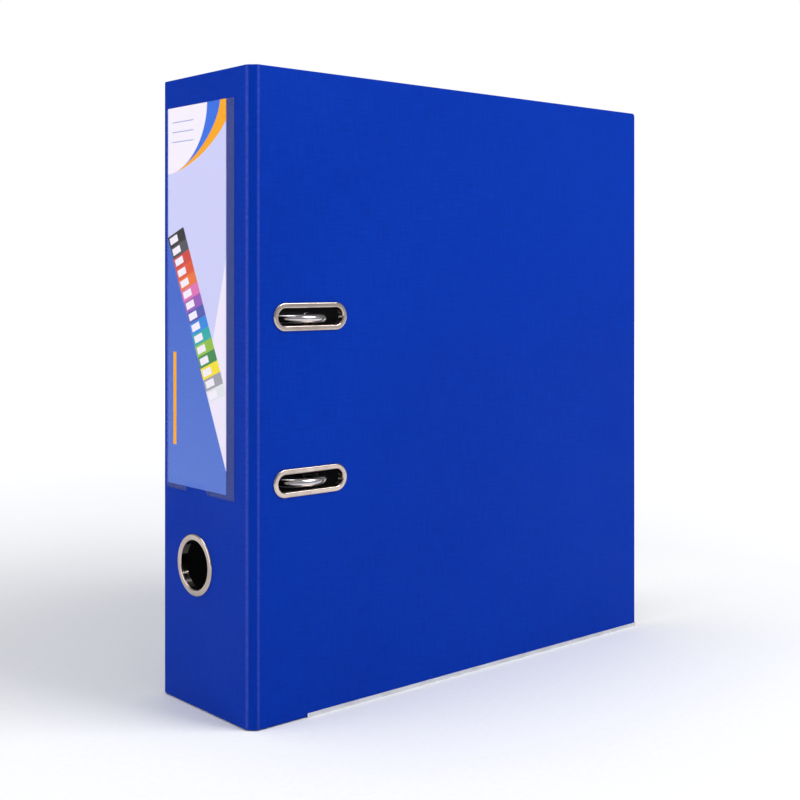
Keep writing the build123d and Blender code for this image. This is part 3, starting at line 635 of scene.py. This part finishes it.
weldSet = {
    "pitch": 1.15 * mm, "radius": 0.30 * mm, "height": 0.07 * mm, "margin": 0.8 * mm,
    "sheet": 0.25 * mm,  # the welded border's thickness
    "footRow": 0.6 * mm,  # height of the field of dots along the foot
    "notchEnd": 42.0 * mm,  # from the pocket's rear side to past its notch
    "rearRow": 15.0 * mm, "rearMiddle": 9.0 * mm,  # the foot's row behind the notch
}


def makeWeldDots():
    tree = dotTree()
    s = weldSet
    tall = film[1].z - film[0].z
    wide = film[1].y - film[0].y
    frontWide = filmSet["frontWeld"] * mm
    footWide = wide - frontWide - s["notchEnd"]
    footMiddle = film[0].z + filmSet["footWeld"] * mm / 2
    strips = [  # width, length, middle's y and z
        (frontWide - 2 * s["margin"], tall - 2 * s["margin"],
         film[0].y + frontWide / 2, film[0].z + tall / 2),
        (footWide, s["footRow"], film[0].y + frontWide + footWide / 2, footMiddle),
        (s["rearRow"], s["footRow"], film[1].y - s["rearMiddle"], footMiddle),
    ]
    base = newPiece("weldBase", bpy.data.meshes.new("weldBase"))
    joined = bmesh.new()
    for width, length, y, z in strips:
        data = runTree(base, tree, {"Width": width, "Length": length, "Pitch": s["pitch"],
                                    "Radius": s["radius"], "Height": s["height"]})
        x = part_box("spine_foil")[0].x - s["sheet"]
        data.transform(Matrix(((0, 0, -1, x), (-1, 0, 0, y), (0, 1, 0, z), (0, 0, 0, 1))))
        joined.from_mesh(data)
        bpy.data.meshes.remove(data)
    bpy.data.objects.remove(base)
    data = bpy.data.meshes.new("pocket_weld_dots")
    joined.to_mesh(data)
    joined.free()
    data.materials.append(looks["dots"])
    for polygon in data.polygons:
        polygon.use_smooth = True
    dots = newPiece("pocket_weld_dots", data)
    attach(dots, "spine")


makeWeldDots()
print("pocket's weld dotted")

coilSet = {  # lengths in millimetres, and wire as its radius
    "archWire": 0.5, "archTurns": 4.5, "archPitch": 1.12, "tail": 4.44, "hookBend": 1.2, "hook": 3.4,
    "clampWire": 0.25, "clampTurns": 3.5, "closedTurn": 0.5,
    "stepsPerTurn": 28, "bendSteps": 6, "sides": 14,
}


def wirePiece(name, points, radius, tree):
    data = bpy.data.meshes.new(name)
    data.from_pydata(points, [(k, k + 1) for k in range(len(points) - 1)], [])
    base = newPiece(name + "Path", data)
    solid = runTree(base, tree, {"Radius": radius, "Sides": coilSet["sides"]})
    bpy.data.objects.remove(base)
    return newPiece(name, solid)


def makeArchSpring(side, tree):
    s = coilSet
    node = side + "_arch_spring"
    low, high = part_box(node)
    shaft = Vector(joints["arch_turn"]["pos_m"])
    gauge = s["archWire"] * mm
    radius = shaft.x - low.x - gauge
    inward = 1 if side == "lower" else -1  # along Z, from the lug to the file's middle
    rise = s["archPitch"] * mm / (2 * math.pi)  # along Z for each radian
    lean = inward * rise / radius
    footZ = low.z + gauge if side == "lower" else high.z - gauge
    startZ = footZ + lean * (high.y - shaft.y)
    points = [(shaft.x - radius, high.y, footZ)]
    for k in range(int(s["archTurns"] * s["stepsPerTurn"]) + 1):
        angle = 2 * math.pi * k / s["stepsPerTurn"]
        points.append((shaft.x - radius * math.cos(angle), shaft.y - radius * math.sin(angle),
                       startZ + inward * rise * angle))
    tailX, tailY, tailZ = points[-1]
    bend, tail = s["hookBend"] * mm, s["tail"] * mm
    for k in range(s["bendSteps"] + 1):
        angle = math.pi / 2 * k / s["bendSteps"]
        points.append((tailX, tailY + tail + bend * math.sin(angle),
                       tailZ + lean * tail + inward * bend * (1 - math.cos(angle))))
    hookX, hookY, hookZ = points[-1]
    points.append((hookX, hookY, hookZ + inward * s["hook"] * mm))
    spring = wirePiece(side + "_arch_coil", points, gauge, tree)
    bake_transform(spring)
    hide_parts(node)


def makeClampSpring(side, tree):
    s = coilSet
    node = side + "_clamp_spring"
    low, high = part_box(node)
    middle = (low + high) / 2
    gauge = s["clampWire"] * mm
    radius = (high.x - low.x) / 2 - gauge
    total = int(s["clampTurns"] * s["stepsPerTurn"])
    closed = s["closedTurn"] * s["stepsPerTurn"]  # steps of each end turn that lie flat
    points = []
    for k in range(total + 1):
        angle = 2 * math.pi * k / s["stepsPerTurn"]
        share = min(max((k - closed) / (total - 2 * closed), 0.0), 1.0)
        points.append((middle.x + radius * math.cos(angle),
                       high.y - gauge - share * (high.y - low.y - 2 * gauge),
                       middle.z + radius * math.sin(angle)))
    spring = wirePiece(side + "_clamp_coil", points, gauge, tree)
    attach(spring, "compressor")
    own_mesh(spring)
    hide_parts(node)


pathTree = wireTree()
for side in ("upper", "lower"):
    makeArchSpring(side, pathTree)
    makeClampSpring(side, pathTree)
print("springs wound")


# floor, lights and camera

stageSet = {
    "floorSize": 9.0, "floorColour": (0.88, 0.88, 0.88, 1),
    "glowFrom": (0.35, 1.6), "glow": 0.8,  # painted light: the floor glows of itself, brightening away from the object
    "skyHigh": (0.80, 0.82, 0.86, 1), "skyLow": (0.40, 0.41, 0.44, 1), "skyStrength": 0.62,
    "backdrop": (1, 1, 1, 1),
}
lightSet = {  # place, what it points at, size, power
    "keyLight": ((0.65, -1.15, 1.45), (0.05, 0.0, 0.25), 1.0, 24.0),
    "sideLight": ((-1.35, 0.35, 0.30), (-0.1, 0.0, 0.08), 0.9, 6.0),
    "topLight": ((-0.35, 0.15, 1.6), (0.0, 0.0, 0.3), 0.8, 7.0),
}
cameraSet = {
    "place": (-0.48830, -0.54295, 0.21416), "turn": 41.19,  # degrees to the right of +Y
    "lens": 58.03, "sensor": 36.0, "shift": -0.15294,
}


def makeFloor():
    s = stageSet
    half = s["floorSize"] / 2
    data = bpy.data.meshes.new("floor")
    corners = [(-half, -half, 0), (half, -half, 0), (half, half, 0), (-half, half, 0)]
    data.from_pydata(corners, [], [(0, 1, 2, 3)])
    floor = newPiece("floor", data)
    material, tree, shader, where = newMaterial("palePaint", Roughness=0.75, Specular_IOR_Level=0.2)
    fine = place(tree, grain, {"Vector": where, "Scale": 300.0})
    lighter = tuple(min(1.0, v * 1.02) for v in s["floorColour"])
    feed(tree, shader.inputs["Base Color"],
         mixColour(tree, fine.outputs["Shade"], s["floorColour"], lighter))
    # painted light: emission that rises with distance from the object, so the floor glows though it is no
    # lamp
    far = addNode(tree, "ShaderNodeVectorMath", {0: where}, operation="LENGTH").outputs["Value"]
    glow = mixColour(tree, remap(tree, far, *s["glowFrom"]), (0, 0, 0, 1), s["floorColour"])
    feed(tree, shader.inputs["Emission Color"], glow)
    shader.inputs["Emission Strength"].default_value = s["glow"]
    data.materials.append(material)


def makeWorld():
    s = stageSet
    world = bpy.data.worlds.new("studio")
    world.use_nodes = True
    tree = world.node_tree
    tree.nodes.clear()
    direction = addNode(tree, "ShaderNodeTexCoord").outputs["Generated"]
    up = addNode(tree, "ShaderNodeSeparateXYZ", {0: direction}).outputs[2]
    sky = mixColour(tree, remap(tree, up, -0.1, 0.9), s["skyLow"], s["skyHigh"])
    lit = addNode(tree, "ShaderNodeBackground", {"Color": sky, "Strength": s["skyStrength"]})
    seen = addNode(tree, "ShaderNodeBackground", {"Color": s["backdrop"], "Strength": 1.0})
    ray = addNode(tree, "ShaderNodeLightPath").outputs["Is Camera Ray"]
    mixed = addNode(tree, "ShaderNodeMixShader", {0: ray, 1: lit.outputs[0], 2: seen.outputs[0]})
    out = addNode(tree, "ShaderNodeOutputWorld")
    tree.links.new(mixed.outputs[0], out.inputs["Surface"])
    scene.world = world


def addLight(name, spot, target, size, power):
    data = bpy.data.lights.new(name, "AREA")
    data.size, data.energy = size, power
    lamp = newPiece(name, data)
    lamp.location = spot
    lamp.rotation_euler = (Vector(target) - Vector(spot)).to_track_quat("-Z", "Y").to_euler()


def addCamera():
    s = cameraSet
    data = bpy.data.cameras.new("camera")
    data.lens, data.sensor_width, data.shift_y, data.clip_start = s["lens"], s["sensor"], s["shift"], 0.01
    camera = newPiece("camera", data)
    camera.location = s["place"]
    camera.rotation_euler = (math.radians(90), 0, -math.radians(s["turn"]))
    scene.camera = camera


makeFloor()
makeWorld()
for name, values in lightSet.items():
    addLight(name, *values)
addCamera()
scene.view_settings.view_transform = "Standard"
print("stage, lights and camera placed")

bpy.context.view_layer.update()
